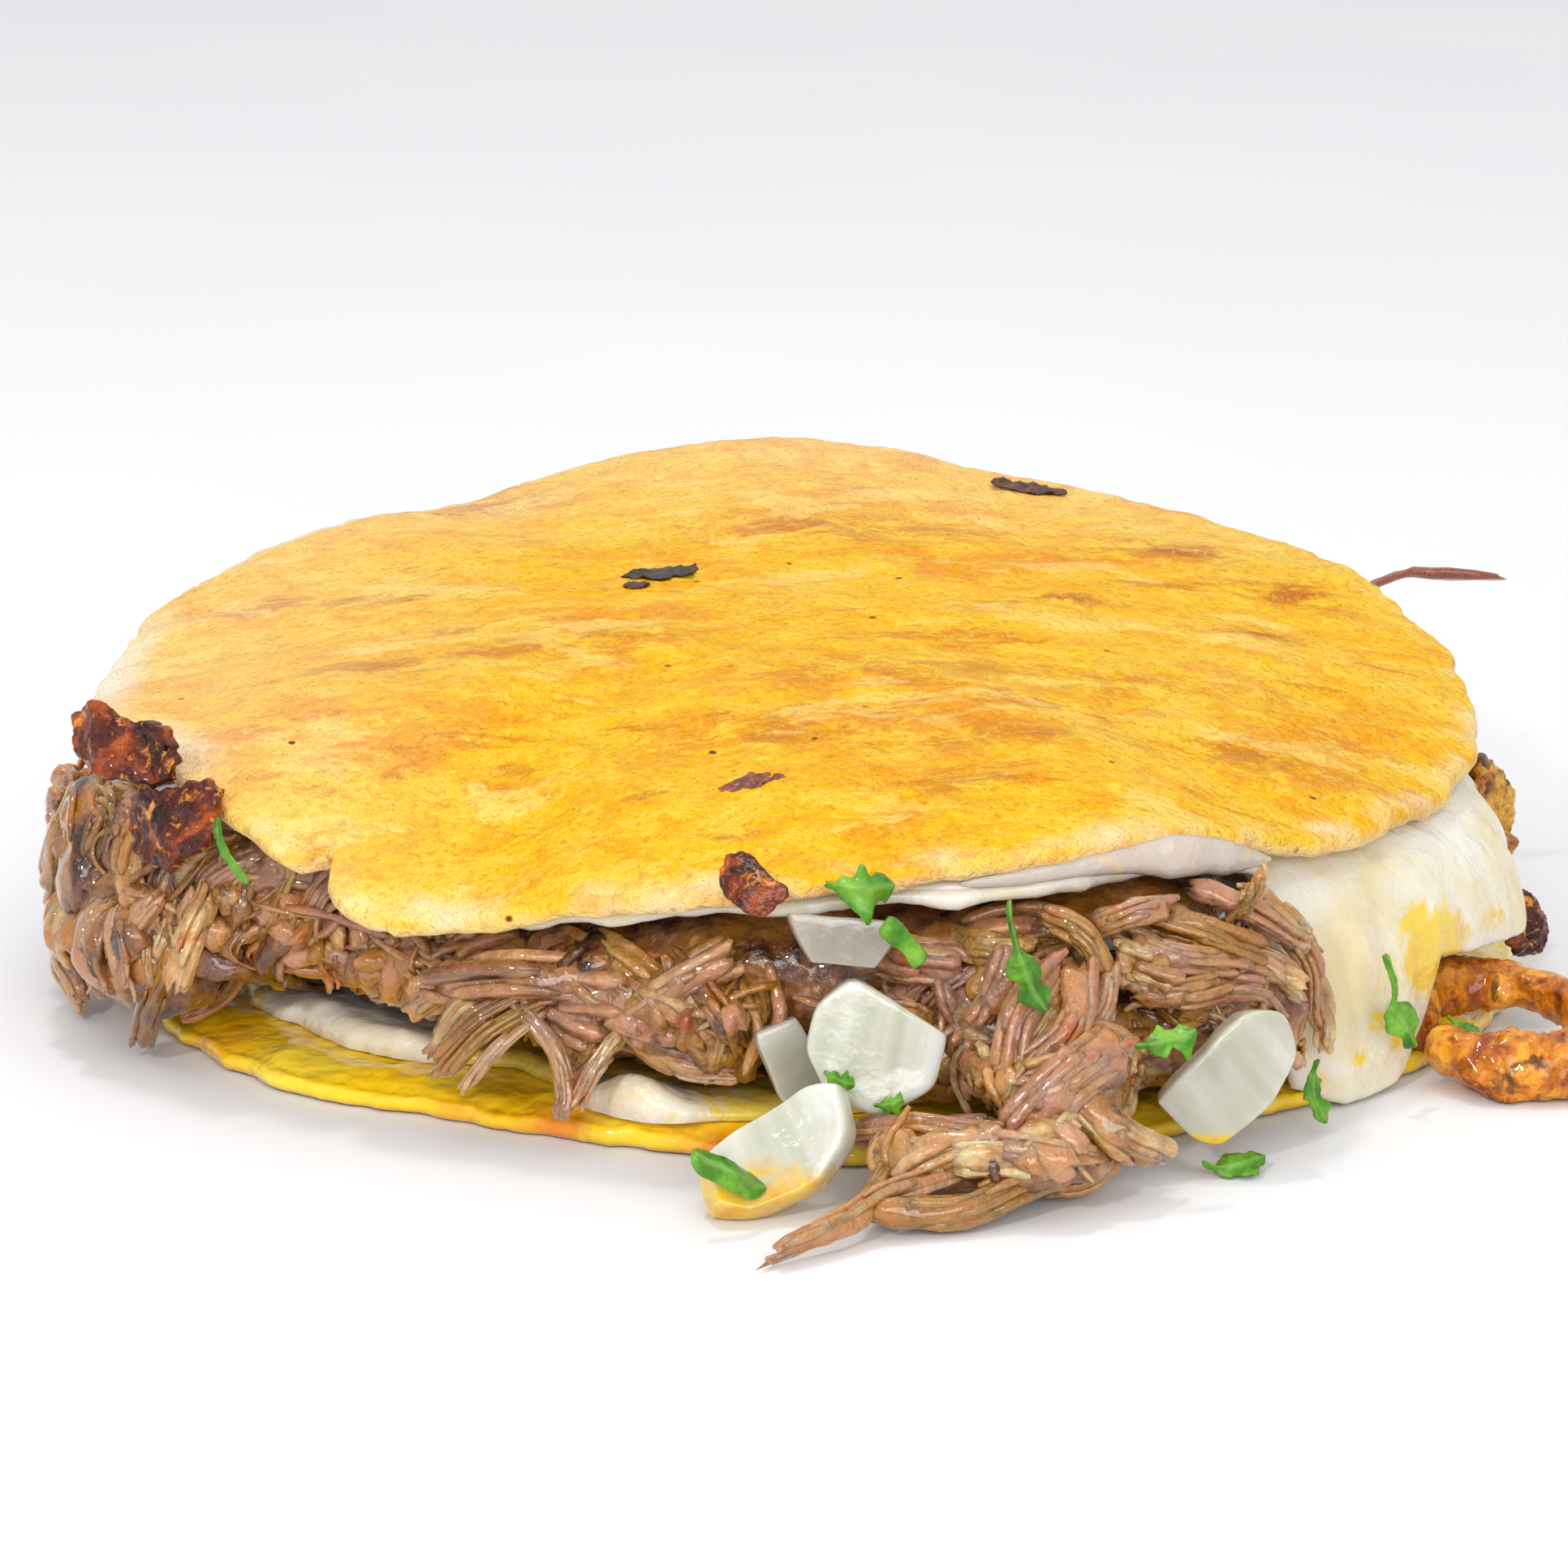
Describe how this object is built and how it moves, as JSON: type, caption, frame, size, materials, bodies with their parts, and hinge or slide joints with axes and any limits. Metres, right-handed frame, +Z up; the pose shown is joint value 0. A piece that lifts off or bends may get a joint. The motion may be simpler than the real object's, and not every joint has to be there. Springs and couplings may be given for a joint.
{
  "type": "birria mulita",
  "caption": "Griddled corn tortilla sandwich with melted cheese and shredded birria beef that spills from its front, with diced onion, chopped cilantro and crisp cheese edges.",
  "frame": {"origin": "middle of the lower tortilla's flat underside, on the surface it rests on", "axes": "+Z up through the layers, -Y towards the front where the filling spills out, +X to the right seen from the front"},
  "size_m": [0.1549, 0.1679, 0.0394],
  "materials": {
    "masa_griddled": "satin",
    "masa_oiled": "glossy",
    "melted_cheese": "satin",
    "shredded_beef": "glossy",
    "raw_onion": "glossy",
    "cilantro_leaf": "satin",
    "crisp_cheese": "satin"
  },
  "bodies": {
    "root": {"tortilla_top": "masa_griddled", "tortilla_bottom": "masa_oiled", "cheese_upper": "melted_cheese", "cheese_lower": "melted_cheese", "birria_filling": "shredded_beef", "onion_dice": "raw_onion", "onion_wedge": "raw_onion", "onion_slice": "raw_onion", "onion_behind": "raw_onion", "onion_upper": "raw_onion", "crisp_curl": "crisp_cheese", "crisp_left_upper": "crisp_cheese", "crisp_left_lower": "crisp_cheese", "crisp_right_upper": "crisp_cheese", "crisp_right_tip": "crisp_cheese", "crisp_flake": "crisp_cheese", "cilantro_1": "cilantro_leaf", "cilantro_2": "cilantro_leaf", "cilantro_3": "cilantro_leaf", "cilantro_4": "cilantro_leaf", "cilantro_5": "cilantro_leaf", "cilantro_6": "cilantro_leaf", "cilantro_7": "cilantro_leaf", "cilantro_8": "cilantro_leaf", "cilantro_9": "cilantro_leaf"}
  },
  "joints": []
}
